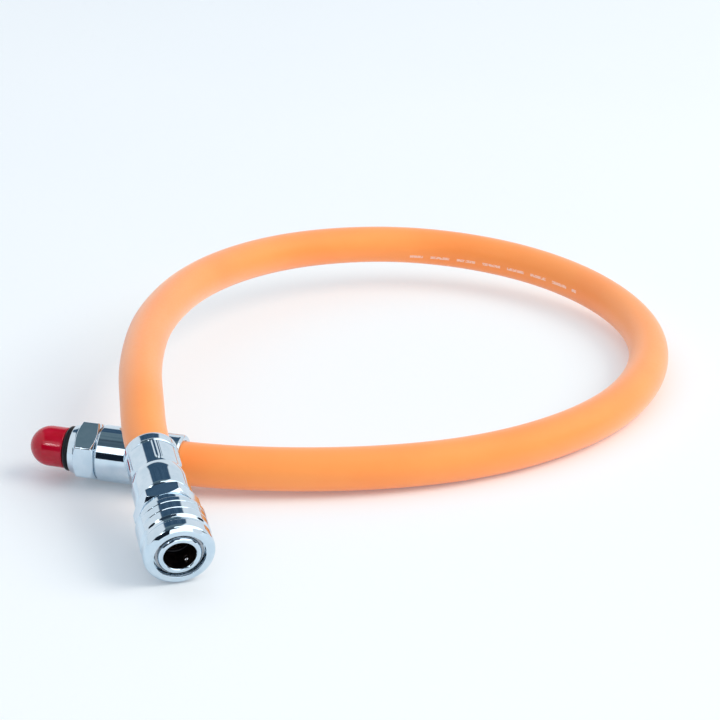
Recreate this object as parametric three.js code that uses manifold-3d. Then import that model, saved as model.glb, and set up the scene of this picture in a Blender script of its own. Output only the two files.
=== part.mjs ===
// A short rubber air hose lying in one loop: a quick-release coupler on one end,
// a threaded port stud with its red cap on the other. Millimetres, +Z up.
// The hose lies on the plane z = 0 and crosses over its own threaded end.

import * as THREE from 'three';
import { mergeVertices } from 'three/addons/utils/BufferGeometryUtils.js';
import Module from 'manifold-3d';

const wasm = await Module();
wasm.setup();

// ---------------------------------------------------------------- driving dimensions

const HOSE_DIAMETER = 12.7;
const LAYER_GAP = 0.3;
const COVER_WALL = 1.6;
const BRAID_WALL = 0.4;
const LINER_WALL = 0.6;
const HOSE_SIDES = 10;
const HOSE_STEPS = 26;

// Where the two end fittings lie. The coupler points along -Y, nose down; its mouth is
// measured at the middle of the nose face. The stud's ferrule starts where the hose enters.
const COUPLER_MOUTH = new THREE.Vector3(7.3, -40.6, 9.25);
const COUPLER_TILT = THREE.MathUtils.degToRad(13);
const STUD_START = new THREE.Vector3(19, 17.4, 8.37);
const STUD_HEADING = THREE.MathUtils.degToRad(61.8);
const STUD_TILT = THREE.MathUtils.degToRad(1.86);

// The free hose from the coupler's ferrule round the loop to the stud's ferrule.
const FREE_ROUTE = [
  [7.4, 11.7, 21.6], [8.7, 23.2, 24.5], [11.5, 42.7, 26.3], [15.8, 62.2, 26.3],
  [21.6, 81.7, 25.7], [29.4, 100.2, 24.7], [39.1, 117.7, 23.5], [51.6, 133.7, 22.2],
  [66.6, 147.2, 20.7], [84.1, 157.4, 19.1], [103.6, 163.2, 17.4], [123.6, 163.7, 15.8],
  [142.6, 158.9, 14.1], [159.6, 148.7, 12.5], [173.1, 133.7, 11.1], [182.1, 115.5, 9.8],
  [186.1, 95.7, 8.7], [184.8, 75.2, 7.9], [178.4, 56.2, 7.2], [167.6, 39, 6.8],
  [153.4, 24.7, 6.5], [136.4, 13.9, 6.4], [117.6, 6.6, 6.4], [97.7, 3, 6.5], [77.6, 2.8, 6.8],
  [57.4, 5.4, 7.2], [37.9, 10.2, 7.7],
];

// Coupler, measured back from the mouth.
const BORE_RADIUS = 4.45;
const NOSE_RADIUS = 5.9;
const WRENCH_SIZE = 16;
const SLEEVE_RADIUS = 9.7;
const HEX_ROLL = THREE.MathUtils.degToRad(-10.5);
const SLEEVE_LENGTH = 13.6;
const COUPLER_LENGTH = 44.9;
const HOSE_STOP_IN_COUPLER = 30.2;
const FERRULE_BORE = 6.8;
const CRIMP_ROLL = THREE.MathUtils.degToRad(3);

// Three locking balls stand round the bore, the first one to the right of the lowest line.
const BALL_COUNT = 3;
const BALL_RADIUS = 1.1;
const BALL_CIRCLE = 5.0;
const BALL_DEPTH = 3.6;
const FIRST_BALL_ANGLE = THREE.MathUtils.degToRad(-31);

// Port stud, measured from the hose side of its ferrule.
const STUD_FERRULE_RADIUS = 8.2;
const STUD_FERRULE_LENGTH = 24.3;
const HOSE_STOP_IN_STUD = 20.4;
const STUD_HEX_START = 24.6;
const STUD_HEX_END = 30.9;
const STUD_FACE = 33;
const STUD_HEX_ROLL = THREE.MathUtils.degToRad(29);
const THREAD_START = 35.2;
const THREAD_PITCH = 1.058;
const THREAD_COUNT = 6;
const THREAD_MAJOR = 4.76;
const THREAD_MINOR = 4.15;
const CAP_START = 35.1;
const CAP_RADIUS = 5.9;
const CAP_LENGTH = 11.2;

const TAIL_RADIUS = 2.45;
const BARB_RADIUS = 2.7;
const TAIL_BORE = 1.8;

// ---------------------------------------------------------------- materials

const finish = (color, roughness, metalness) =>
  new THREE.MeshStandardMaterial({ color, roughness, metalness });

const chrome = finish(0xcfdae6, 0.12, 1);
const brass = finish(0xb89a5a, 0.3, 1);
const springSteel = finish(0xa8adb3, 0.35, 1);
const ballSteel = finish(0xdfe4ea, 0.08, 1);
const orangeRubber = finish(0xff8a3c, 0.5, 0);
const braidYarn = finish(0xe8e2d2, 0.9, 0);
const linerRubber = finish(0x24262a, 0.7, 0);
const sealRubber = finish(0x16181c, 0.55, 0);
const blackAcetal = finish(0x1a1a1d, 0.45, 0);
const redVinyl = finish(0xb81430, 0.35, 0);

// ---------------------------------------------------------------- solids

// One closed surface: shared corners merged, collapsed triangles dropped, faces outward.
function closed(geometry) {
  const bare = geometry.clone();
  bare.deleteAttribute('normal');
  bare.deleteAttribute('uv');
  const merged = mergeVertices(bare, 1e-4);
  const corners = merged.getIndex().array;
  const at = (i) => new THREE.Vector3().fromBufferAttribute(merged.getAttribute('position'), i);
  const kept = [];
  let volume = 0;
  for (let i = 0; i < corners.length; i += 3) {
    const [a, b, c] = [corners[i], corners[i + 1], corners[i + 2]];
    if (a === b || b === c || c === a) continue;
    kept.push(a, b, c);
    volume += at(a).dot(at(b).cross(at(c)));
  }
  if (volume < 0) kept.reverse();
  merged.setIndex(kept);
  return merged;
}

function toManifold(geometry) {
  const source = closed(geometry);
  return new wasm.Manifold(new wasm.Mesh({
    numProp: 3,
    vertProperties: new Float32Array(source.getAttribute('position').array),
    triVerts: new Uint32Array(source.getIndex().array),
  }));
}

function toGeometry(manifold) {
  const { vertProperties, triVerts } = manifold.getMesh();
  const geometry = new THREE.BufferGeometry();
  geometry.setAttribute('position', new THREE.BufferAttribute(vertProperties, 3));
  geometry.setIndex(new THREE.BufferAttribute(triVerts, 1));
  return geometry;
}

const join = (a, b) => toGeometry(toManifold(a).add(toManifold(b)));
const cut = (a, b) => toGeometry(toManifold(a).subtract(toManifold(b)));
const common = (a, b) => toGeometry(toManifold(a).intersect(toManifold(b)));

// A turned piece about its own Y axis. The outline lists [radius, distance along the axis]
// and goes round its material once; it closes on itself.
function turned(outline, segments = 32) {
  const points = [...outline, outline[0]].map(([radius, along]) => new THREE.Vector2(radius, along));
  return closed(new THREE.LatheGeometry(points, segments));
}

// A hexagonal bar along Y, `size` across its flats, with one flat facing +Z before the roll.
function hexBar(size, start, end, roll = 0) {
  const corner = size / Math.sqrt(3);
  const outline = new THREE.Shape();
  for (let i = 0; i < 6; i++) {
    const angle = i * Math.PI / 3;
    outline[i ? 'lineTo' : 'moveTo'](corner * Math.cos(angle), corner * Math.sin(angle));
  }
  outline.closePath();
  const bar = new THREE.ExtrudeGeometry(outline, { depth: end - start, bevelEnabled: false });
  bar.rotateX(-Math.PI / 2);
  bar.translate(0, start, 0);
  bar.rotateY(roll);
  return closed(bar);
}

// A rubber or wire ring about the Y axis.
function ring(radius, thickness, along) {
  const torus = new THREE.TorusGeometry(radius, thickness / 2, 7, 24);
  torus.rotateX(Math.PI / 2);
  torus.translate(0, along, 0);
  return closed(torus);
}

class Helix extends THREE.Curve {
  constructor(radius, start, end, turns) {
    super();
    Object.assign(this, { radius, start, end, turns });
  }

  getPoint(t, target = new THREE.Vector3()) {
    const angle = t * this.turns * 2 * Math.PI;
    const along = THREE.MathUtils.lerp(this.start, this.end, t);
    return target.set(this.radius * Math.cos(angle), along, this.radius * Math.sin(angle));
  }
}

// A coil spring of round wire about the Y axis.
function coilSpring(radius, wire, start, end, turns) {
  const section = new THREE.Shape().absarc(0, 0, wire / 2, 0, 2 * Math.PI);
  return closed(new THREE.ExtrudeGeometry(section, {
    steps: turns * 9,
    curveSegments: 5,
    extrudePath: new Helix(radius, start + wire / 2, end - wire / 2, turns),
  }));
}

const part = new THREE.Group();
const coupler = new THREE.Group();
coupler.position.copy(COUPLER_MOUTH);
coupler.rotation.x = COUPLER_TILT;
const studHeading = new THREE.Group();
studHeading.position.copy(STUD_START);
studHeading.rotation.z = STUD_HEADING;
const stud = new THREE.Group();
stud.rotation.x = STUD_TILT;
studHeading.add(stud);
part.add(coupler, studHeading);
part.updateMatrixWorld(true);

function place(group, name, geometry, material) {
  const mesh = new THREE.Mesh(geometry, material);
  mesh.name = name;
  group.add(mesh);
}

// ---------------------------------------------------------------- coupler body and lock

// Nose with the bore, the seal groove and the clip groove; neck; rear socket for the stem.
function couplerBody() {
  const socketRadius = 4.2;
  const rearEnd = 26.3;
  const blank = turned([
    [BORE_RADIUS + 0.4, 0], [5.5, 0], [NOSE_RADIUS, 0.5],
    [NOSE_RADIUS, 1.0], [5.55, 1.0], [5.55, 1.9], [NOSE_RADIUS, 1.9],
    [NOSE_RADIUS, 13.3], [7.9, 13.3], [7.9, 21.2], [7.2, 21.2], [7.2, rearEnd],
    [socketRadius, rearEnd], [socketRadius, 11.3], [2.9, 11.3], [2.9, 10.2],
    [BORE_RADIUS, 10.2], [BORE_RADIUS, 8.8], [5.4, 8.8], [5.4, 7.0],
    [BORE_RADIUS, 7.0], [BORE_RADIUS, 0.4],
  ], 28);
  const hexOutline = turned([
    [7.5, 16.9], [8.1, 16.9], [9.24, 17.7], [9.24, 20.3], [8.2, 21.2], [7.5, 21.2],
  ], 28);
  const hex = common(hexOutline, hexBar(WRENCH_SIZE, 16.5, 22, HEX_ROLL));
  let body = join(blank, hex);
  for (let i = 0; i < BALL_COUNT; i++) {
    body = cut(body, ballPocket(ballAngle(i)));
  }
  return body;
}

const ballAngle = (i) => FIRST_BALL_ANGLE + i * 2 * Math.PI / BALL_COUNT;

// The tapered hole that keeps a ball from falling into the bore; angle 0 points down.
function ballPocket(angle) {
  const innerEnd = BORE_RADIUS - 0.6;
  const outerEnd = NOSE_RADIUS + 0.6;
  const pocket = new THREE.CylinderGeometry(1.5, 0.95, outerEnd - innerEnd, 14);
  pocket.translate(0, (innerEnd + outerEnd) / 2, 0);
  pocket.rotateX(-Math.PI / 2);
  pocket.rotateY(angle);
  pocket.translate(0, BALL_DEPTH, 0);
  return pocket;
}

function lockingBall(angle) {
  const ball = new THREE.SphereGeometry(BALL_RADIUS, 12, 7);
  ball.translate(0, 0, -BALL_CIRCLE);
  ball.rotateY(angle);
  ball.translate(0, BALL_DEPTH, 0);
  return closed(ball);
}

// The sleeve: a front recess for the clip and the freed balls, a cone down to the land that
// holds the balls in, and the spring chamber.
// Outside, from the mouth back: band, wide groove, and three finger rings.
function slidingSleeve() {
  const groove = (at) => [
    [SLEEVE_RADIUS, at - 0.2], [SLEEVE_RADIUS - 0.3, at], [SLEEVE_RADIUS, at + 0.2],
  ];
  return turned([
    [7.0, 0], [8.0, 0], [9.0, 0.45], [9.5, 1.0], [SLEEVE_RADIUS, 1.8], [SLEEVE_RADIUS, 3.7],
    [9.2, 4.3], [9.05, 4.9], [9.2, 5.5], [SLEEVE_RADIUS, 6.1], ...groove(8.7), ...groove(11.5),
    [SLEEVE_RADIUS, SLEEVE_LENGTH - 0.4], [9.3, SLEEVE_LENGTH],
    [8.2, SLEEVE_LENGTH], [8.2, 6.2], [6.3, 6.2], [6.3, 3.3], [6.5, 2.05], [7.0, 2.05],
  ]);
}

function retainingClip() {
  return turned([[5.8, 1.2], [6.7, 1.2], [6.7, 1.75], [5.8, 1.75]]);
}

place(coupler, 'coupler_body', couplerBody(), chrome);
place(coupler, 'sliding_sleeve', slidingSleeve(), chrome);
place(coupler, 'sleeve_spring', coilSpring(7.05, 0.7, 6.5, 13, 4), springSteel);
place(coupler, 'sleeve_clip', retainingClip(), springSteel);
for (let i = 0; i < BALL_COUNT; i++) {
  place(coupler, `locking_ball_${i + 1}`, lockingBall(ballAngle(i)), ballSteel);
}
place(coupler, 'nipple_seal', ring(4.55, 1.1, 7.9), sealRubber);

// ---------------------------------------------------------------- valve in the coupler

// The mating nipple pushes the tip back, the head leaves its seat and air flows.
function valvePin() {
  return turned([
    [0, 8.9], [0.9, 8.9], [1.1, 9.2], [1.1, 12.3], [3.6, 12.3], [3.6, 13.2],
    [0.8, 13.2], [0.8, 20.2], [0, 20.2],
  ], 20);
}

// The guide centres the pin's tail and backs its spring; three holes let the air past.
function valveGuide() {
  let guide = turned([[1.1, 17.3], [3.9, 17.3], [3.9, 20.3], [1.1, 20.3]], 24);
  for (let i = 0; i < 3; i++) {
    const airHole = new THREE.CylinderGeometry(0.8, 0.8, 5, 10);
    airHole.translate(2.5, 18.8, 0);
    airHole.rotateY(i * 2 * Math.PI / 3);
    guide = cut(guide, airHole);
  }
  return guide;
}

place(coupler, 'valve_pin', valvePin(), blackAcetal);
place(coupler, 'valve_seal', turned([[2.6, 11.6], [3.6, 11.6], [3.6, 12.0], [2.6, 12.0]], 24), sealRubber);
place(coupler, 'valve_spring', coilSpring(2.3, 0.5, 13.5, 17, 3), springSteel);
place(coupler, 'valve_guide', valveGuide(), blackAcetal);

// ---------------------------------------------------------------- hose tails and ferrules

// Barbs along a hose tail, each a cone that rises towards `towards` (+1 or -1) and drops off.
function barbs(first, count, pitch, towards) {
  const outline = [];
  for (let i = 0; i < count; i++) {
    const low = first + i * pitch;
    const high = low + pitch;
    const rise = [[TAIL_RADIUS, low], [BARB_RADIUS, high], [TAIL_RADIUS, high]];
    const drop = [[TAIL_RADIUS, low], [BARB_RADIUS, low], [TAIL_RADIUS, high]];
    outline.push(...(towards > 0 ? rise : drop));
  }
  return outline;
}

// The stem screws into the coupler body and carries the hose on its barbed tail.
function couplerStem() {
  return turned([
    [TAIL_BORE, 20.6], [3.9, 20.6], [3.9, 22.4], [2.8, 22.4], [2.8, 24.0], [3.9, 24.0],
    [3.9, 26.6], [6.4, 26.6], [6.4, 28.6], [4.0, 28.6], [4.0, 30.0], [TAIL_RADIUS, 30.0],
    ...barbs(31.2, 4, 3.2, -1), [2.2, 44.4], [TAIL_BORE, 44.4],
  ], 24);
}

// The ferrule is a smooth barrel. Behind its shoulder six dies have crimped it onto the hose,
// which leaves six narrow ridges, and its last rim is left round.
function couplerFerrule() {
  const shell = turned([
    [7.5, 21.9], [8.0, 22.0], [8.0, 30.4], [7.85, 31.3], [7.45, 32.3], [7.45, 33.0],
    [7.85, 33.9], [7.85, 41.2], [7.7, 41.8], [7.7, 44.0], [7.35, COUPLER_LENGTH],
    [FERRULE_BORE, COUPLER_LENGTH], [FERRULE_BORE, HOSE_STOP_IN_COUPLER - 0.3],
    [4.3, HOSE_STOP_IN_COUPLER - 0.3], [4.3, 28.9], [7.5, 28.9],
  ]);
  const flatDistance = 7.3;
  let crimped = shell;
  for (let i = 0; i < 6; i++) {
    const die = new THREE.BoxGeometry(8, 8.4, 2);
    die.translate(0, 37.2, flatDistance + 1);
    die.rotateY((i + 0.5) * Math.PI / 3 + CRIMP_ROLL);
    crimped = cut(crimped, die);
  }
  return crimped;
}

function studFerrule() {
  const web = HOSE_STOP_IN_STUD + 0.3;
  return turned([
    [FERRULE_BORE, 0], [7.8, 0], [STUD_FERRULE_RADIUS, 0.7],
    [STUD_FERRULE_RADIUS, STUD_FERRULE_LENGTH - 0.5], [STUD_FERRULE_RADIUS - 0.5, STUD_FERRULE_LENGTH],
    [4.3, STUD_FERRULE_LENGTH], [4.3, web], [FERRULE_BORE, web],
  ]);
}

place(coupler, 'coupler_stem', couplerStem(), brass);
place(coupler, 'stem_seal', ring(3.5, 0.8, 23.2), sealRubber);
place(coupler, 'coupler_ferrule', couplerFerrule(), chrome);
place(stud, 'stud_ferrule', studFerrule(), chrome);

// ---------------------------------------------------------------- port stud, seal and cap

// Annular ridges stand for the 3/8 inch, 24 to the inch thread.
function threadRidges() {
  const outline = [];
  for (let i = 0; i < THREAD_COUNT; i++) {
    const start = THREAD_START + i * THREAD_PITCH;
    outline.push([THREAD_MINOR, start], [THREAD_MAJOR, start + THREAD_PITCH / 2]);
  }
  return outline;
}

function portStud() {
  const tip = THREAD_START + THREAD_COUNT * THREAD_PITCH + 0.6;
  const core = turned([
    [TAIL_BORE, 1.0], [2.2, 1.0], ...barbs(2.2, 5, 3.6, 1), [TAIL_RADIUS, HOSE_STOP_IN_STUD],
    [4.0, HOSE_STOP_IN_STUD], [4.0, STUD_HEX_START], [7.3, STUD_HEX_START], [7.3, STUD_HEX_END],
    [7.3, STUD_FACE - 0.5], [7.1, STUD_FACE], [6.6, STUD_FACE], [6.6, STUD_FACE - 0.2],
    [THREAD_MINOR, STUD_FACE - 0.2], ...threadRidges(), [THREAD_MINOR, tip - 0.4], [3.8, tip],
    [TAIL_BORE, tip],
  ], 28);
  const hexOutline = turned([
    [7.0, STUD_HEX_START], [7.7, STUD_HEX_START], [9.24, STUD_HEX_START + 0.9],
    [9.24, STUD_HEX_END - 0.9], [7.7, STUD_HEX_END], [7.0, STUD_HEX_END],
  ], 28);
  const hex = common(hexOutline, hexBar(WRENCH_SIZE, STUD_HEX_START - 1, STUD_HEX_END + 1, STUD_HEX_ROLL));
  return join(core, hex);
}

// A push-on vinyl cap with a round end.
function studCap() {
  const outline = [[5.05, CAP_START], [CAP_RADIUS, CAP_START]];
  const domeStart = CAP_START + 5.6;
  const domeLength = CAP_LENGTH - 5.6;
  for (let i = 0; i <= 6; i++) {
    const angle = i * Math.PI / 12;
    outline.push([CAP_RADIUS * Math.cos(angle), domeStart + domeLength * Math.sin(angle)]);
  }
  outline.push([0, CAP_START + 7.6], [5.05, CAP_START + 7.6]);
  return turned(outline, 28);
}

place(stud, 'port_stud', portStud(), chrome);
place(stud, 'port_seal', ring(5.5, 1.7, STUD_FACE + 0.95), sealRubber);
place(stud, 'stud_cap', studCap(), redVinyl);

// ---------------------------------------------------------------- hose

// The route runs up the axis of each ferrule and along the free points between them.
function hoseRoute() {
  const inCoupler = [HOSE_STOP_IN_COUPLER, 37.5, COUPLER_LENGTH]
    .map((along) => new THREE.Vector3(0, along, 0).applyMatrix4(coupler.matrixWorld));
  const inStud = [0, 10, HOSE_STOP_IN_STUD]
    .map((along) => new THREE.Vector3(0, along, 0).applyMatrix4(stud.matrixWorld));
  const free = FREE_ROUTE.map((point) => new THREE.Vector3(...point));
  return new THREE.CatmullRomCurve3([...inCoupler, ...free, ...inStud], false, 'centripetal');
}

function polygon(radius, sides, into) {
  for (let i = 0; i < sides; i++) {
    const angle = (i + 0.5) * 2 * Math.PI / sides;
    into[i ? 'lineTo' : 'moveTo'](radius * Math.cos(angle), radius * Math.sin(angle));
  }
  return into.closePath();
}

// One layer of the hose wall, open at both ends like the hose itself.
function hoseLayer(route, outerRadius, wall) {
  const section = polygon(outerRadius, HOSE_SIDES, new THREE.Shape());
  section.holes.push(polygon(outerRadius - wall, HOSE_SIDES, new THREE.Path()));
  return closed(new THREE.ExtrudeGeometry(section, { steps: HOSE_STEPS, extrudePath: route }));
}

const route = hoseRoute();
const coverRadius = HOSE_DIAMETER / 2;
const braidRadius = coverRadius - COVER_WALL - LAYER_GAP;
const linerRadius = braidRadius - BRAID_WALL - LAYER_GAP;
place(part, 'hose_cover', hoseLayer(route, coverRadius, COVER_WALL), orangeRubber);
place(part, 'hose_braid', hoseLayer(route, braidRadius, BRAID_WALL), braidYarn);
place(part, 'hose_liner', hoseLayer(route, linerRadius, LINER_WALL), linerRubber);

export default part;
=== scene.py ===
import math

import bpy
import numpy as np
from mathutils import Matrix, Vector


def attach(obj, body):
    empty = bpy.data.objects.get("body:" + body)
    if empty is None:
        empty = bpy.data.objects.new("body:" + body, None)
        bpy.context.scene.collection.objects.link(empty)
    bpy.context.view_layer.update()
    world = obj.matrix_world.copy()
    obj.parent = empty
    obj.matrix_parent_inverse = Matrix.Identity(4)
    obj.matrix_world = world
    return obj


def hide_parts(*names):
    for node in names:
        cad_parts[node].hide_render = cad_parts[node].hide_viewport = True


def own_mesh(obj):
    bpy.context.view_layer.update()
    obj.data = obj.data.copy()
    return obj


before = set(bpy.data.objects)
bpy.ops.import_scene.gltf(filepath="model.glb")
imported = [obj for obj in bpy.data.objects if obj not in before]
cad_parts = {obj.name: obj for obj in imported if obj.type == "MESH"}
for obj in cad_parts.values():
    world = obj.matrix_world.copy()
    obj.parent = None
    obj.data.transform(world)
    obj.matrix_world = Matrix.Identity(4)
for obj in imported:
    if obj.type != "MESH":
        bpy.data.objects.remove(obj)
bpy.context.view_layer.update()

MM = 0.001

# ---------------------------------------------------------------- frames and camera

# A fitting's own frame is in millimetres, with Y along its axis: from the mouth back to the hose on
# the coupler, and from the hose's edge of the ferrule out to the cap on the stud.
COUPLER = Matrix.Translation((7.3, -40.6, 9.25)) @ Matrix.Rotation(math.radians(13), 4, "X")
STUD = (Matrix.Translation((19, 17.4, 8.37)) @ Matrix.Rotation(math.radians(61.8), 4, "Z")
        @ Matrix.Rotation(math.radians(1.86), 4, "X"))

CAMERA_PLACE = (-0.0744, -0.5238, 0.267)
CAMERA_PITCH = math.radians(67.5)
VIEW_TURN = math.radians(-15.1)
LENS_LENGTH, SENSOR_WIDTH = 105, 36


def make_camera():
    data = bpy.data.cameras.new("camera")
    data.lens = LENS_LENGTH
    data.sensor_width = SENSOR_WIDTH
    data.clip_start = 0.01
    data.clip_end = 20
    camera = bpy.data.objects.new("camera", data)
    camera.location = CAMERA_PLACE
    camera.rotation_euler = (CAMERA_PITCH, 0, VIEW_TURN)
    bpy.context.scene.collection.objects.link(camera)
    bpy.context.scene.camera = camera


make_camera()

# ---------------------------------------------------------------- node helpers


class Nodes:
    """A small writer of node trees."""

    def __init__(self, tree):
        self.tree = tree
        tree.nodes.clear()

    def add(self, kind, inputs=None, **settings):
        node = self.tree.nodes.new(kind)
        for key, value in settings.items():
            setattr(node, key, value)
        for key, value in (inputs or {}).items():
            self.feed(node.inputs[key], value)
        return node

    def feed(self, socket, value):
        if isinstance(value, bpy.types.NodeSocket):
            self.tree.links.new(value, socket)
        else:
            socket.default_value = value

    def math(self, operation, a, b=0.0, c=0.0):
        return self.add("ShaderNodeMath", {0: a, 1: b, 2: c}, operation=operation).outputs[0]

    def ramp(self, value, low, high, to_low=0.0, to_high=1.0):
        node = self.add("ShaderNodeMapRange", {
            "Value": value, "From Min": low, "From Max": high, "To Min": to_low, "To Max": to_high,
        }, interpolation_type="SMOOTHSTEP")
        return node.outputs["Result"]

    def mix(self, factor, a, b):
        node = self.add("ShaderNodeMix", data_type="RGBA")
        colour_inputs = [s for s in node.inputs if s.type == "RGBA"]
        self.feed(node.inputs[0], factor)
        self.feed(colour_inputs[0], a)
        self.feed(colour_inputs[1], b)
        return [s for s in node.outputs if s.type == "RGBA"][0]

    def noise(self, vector, scale, detail=3.0, roughness=0.5):
        node = self.add("ShaderNodeTexNoise", {
            "Vector": vector, "Scale": scale, "Detail": detail, "Roughness": roughness,
        })
        return node.outputs["Fac"]

    def bump(self, height, strength, distance, normal=None):
        inputs = {"Height": height, "Strength": strength, "Distance": distance}
        if normal is not None:
            inputs["Normal"] = normal
        return self.add("ShaderNodeBump", inputs).outputs["Normal"]


def new_material(name, **principled):
    material = bpy.data.materials.new(name)
    material.use_nodes = True
    nodes = Nodes(material.node_tree)
    shader = nodes.add("ShaderNodeBsdfPrincipled")
    for key, value in principled.items():
        nodes.feed(shader.inputs[key.replace("_", " ")], value)
    output = nodes.add("ShaderNodeOutputMaterial")
    nodes.feed(output.inputs["Surface"], shader.outputs["BSDF"])
    return material, nodes, shader


def object_coordinates(nodes):
    return nodes.add("ShaderNodeTexCoord").outputs["Object"]


def seen_or_mirrored(nodes):
    """1 for camera, glossy and transmission rays, and 0 for the rest."""
    path = nodes.add("ShaderNodeLightPath")
    mirrored = nodes.math("MAXIMUM", path.outputs["Is Glossy Ray"],
                          path.outputs["Is Transmission Ray"])
    return nodes.math("MAXIMUM", path.outputs["Is Camera Ray"], mirrored)


# ---------------------------------------------------------------- materials


def chrome_material():
    """Bright plating: a soft cloudiness in its gloss, faint waves and a few fine scratches."""
    material, nodes, shader = new_material("chrome", Metallic=1.0)
    place = object_coordinates(nodes)
    cloud = nodes.noise(place, 260, 4)
    colour = nodes.mix(nodes.ramp(cloud, 0.3, 0.7), (0.57, 0.70, 0.80, 1), (0.65, 0.76, 0.85, 1))
    nodes.feed(shader.inputs["Base Color"], colour)
    nodes.feed(shader.inputs["Roughness"], nodes.ramp(cloud, 0.25, 0.75, 0.03, 0.075))
    ripple = nodes.noise(place, 150, 2)
    scratch = nodes.noise(nodes.add("ShaderNodeMapping", {
        "Vector": place, "Scale": (2600, 2600, 260),
    }).outputs[0], 1, 2)
    first = nodes.bump(ripple, 0.08, 0.0004)
    nodes.feed(shader.inputs["Normal"], nodes.bump(scratch, 0.02, 0.0001, first))
    return material


def metal_material(name, light, dark, rough, scale):
    """Plain metal in two close shades, rougher where it is paler."""
    material, nodes, shader = new_material(name, Metallic=1.0)
    place = object_coordinates(nodes)
    grain = nodes.noise(place, scale, 4)
    nodes.feed(shader.inputs["Base Color"], nodes.mix(nodes.ramp(grain, 0.3, 0.7), dark, light))
    nodes.feed(shader.inputs["Roughness"], nodes.ramp(grain, 0.2, 0.8, rough, rough + 0.12))
    nodes.feed(shader.inputs["Normal"], nodes.bump(grain, 0.1, 0.0002))
    return material


def rubber_material(name, light, dark, rough, scale, shine=0.5):
    """Rubber, plastic or yarn in two close shades, with a fine grain."""
    material, nodes, shader = new_material(name, Specular_IOR_Level=shine)
    place = object_coordinates(nodes)
    patches = nodes.noise(place, scale, 5)
    nodes.feed(shader.inputs["Base Color"], nodes.mix(nodes.ramp(patches, 0.3, 0.7), dark, light))
    roughness = nodes.ramp(patches, 0.25, 0.75, rough - 0.06, rough + 0.08)
    nodes.feed(shader.inputs["Roughness"], roughness)
    grain = nodes.noise(place, scale * 8, 3)
    nodes.feed(shader.inputs["Normal"], nodes.bump(grain, 0.15, 0.0002))
    return material


# The broken lay line: its blocks and dashes along the hose in mm, and its place round the hose as
# shares of a turn.
LAY_REPEAT, LAY_START, LAY_STOP = 166.0, 77.0, 150.0
LAY_DASH, LAY_GAP = 5.2, 1.5
LAY_PLACE, LAY_DRIFT, LAY_HALF_WIDTH = 0.485, 0.00085, 0.013
LAY_STRENGTH = 0.6


def hose_material():
    """Orange cover: slight patches of shade, dust-fine grain, long die lines and a broken lay line.
    The faint orange-red glow is painted light that keeps the red bright where the cover is shaded."""
    material, nodes, shader = new_material("hose_cover_rubber")
    place = object_coordinates(nodes)
    along_round = nodes.add("ShaderNodeUVMap", uv_map="hose").outputs["UV"]
    split = nodes.add("ShaderNodeSeparateXYZ", {"Vector": along_round})
    along, round_it = split.outputs["X"], split.outputs["Y"]
    patches = nodes.noise(place, 34, 4)
    orange = nodes.mix(nodes.ramp(patches, 0.3, 0.7),
                       (0.98, 0.295, 0.055, 1), (1.0, 0.335, 0.070, 1))
    block = nodes.math("FLOORED_MODULO", along, LAY_REPEAT)
    on_block = nodes.math("MULTIPLY", nodes.math("GREATER_THAN", block, LAY_START),
                          nodes.math("LESS_THAN", block, LAY_STOP))
    on_dash = nodes.math("GREATER_THAN", nodes.math("PINGPONG", along, LAY_DASH), LAY_GAP)
    line = nodes.math("MULTIPLY_ADD", along, LAY_DRIFT, LAY_PLACE)
    off_line = nodes.math("ABSOLUTE", nodes.math("SUBTRACT", round_it, line))
    on_line = nodes.math("LESS_THAN", off_line, LAY_HALF_WIDTH)
    worn = nodes.ramp(nodes.noise(place, 1300, 3), 0.36, 0.5)
    ink = nodes.math("MULTIPLY", nodes.math("MULTIPLY", on_dash, on_block),
                     nodes.math("MULTIPLY", on_line, worn))
    ink = nodes.math("MULTIPLY", ink, LAY_STRENGTH)
    nodes.feed(shader.inputs["Base Color"], nodes.mix(ink, orange, (0.93, 0.85, 0.80, 1)))
    grain = nodes.noise(place, 1400, 3)
    nodes.feed(shader.inputs["Roughness"], nodes.ramp(grain, 0.3, 0.7, 0.40, 0.52))
    die_lines = nodes.noise(nodes.add("ShaderNodeCombineXYZ", {
        "X": nodes.math("MULTIPLY", along, 0.004), "Y": nodes.math("MULTIPLY", round_it, 60),
    }).outputs[0], 3, 2)
    first = nodes.bump(die_lines, 0.08, 0.0002)
    nodes.feed(shader.inputs["Normal"], nodes.bump(grain, 0.12, 0.0001, first))
    # Painted light: a faint orange-red glow keeps the cover's red bright where it is in shade.
    shader.inputs["Emission Color"].default_value = (1.0, 0.22, 0.03, 1)
    shader.inputs["Emission Strength"].default_value = 0.12
    shader.inputs["Sheen Weight"].default_value = 0.6
    shader.inputs["Sheen Roughness"].default_value = 0.5
    shader.inputs["Sheen Tint"].default_value = (1.0, 0.92, 0.86, 1)
    return material


def cap_material():
    """Dipped red vinyl: deep red under a wet-looking skin with a faint orange peel."""
    material, nodes, shader = new_material("cap_vinyl")
    place = object_coordinates(nodes)
    patches = nodes.noise(place, 300, 3)
    nodes.feed(shader.inputs["Base Color"], nodes.mix(
        nodes.ramp(patches, 0.3, 0.7), (0.50, 0.0010, 0.018, 1), (0.56, 0.0018, 0.027, 1)))
    nodes.feed(shader.inputs["Roughness"], nodes.ramp(patches, 0.3, 0.7, 0.12, 0.2))
    nodes.feed(shader.inputs["Normal"], nodes.bump(nodes.noise(place, 500, 2), 0.06, 0.0002))
    shader.inputs["Specular IOR Level"].default_value = 0.4
    return material


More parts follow.
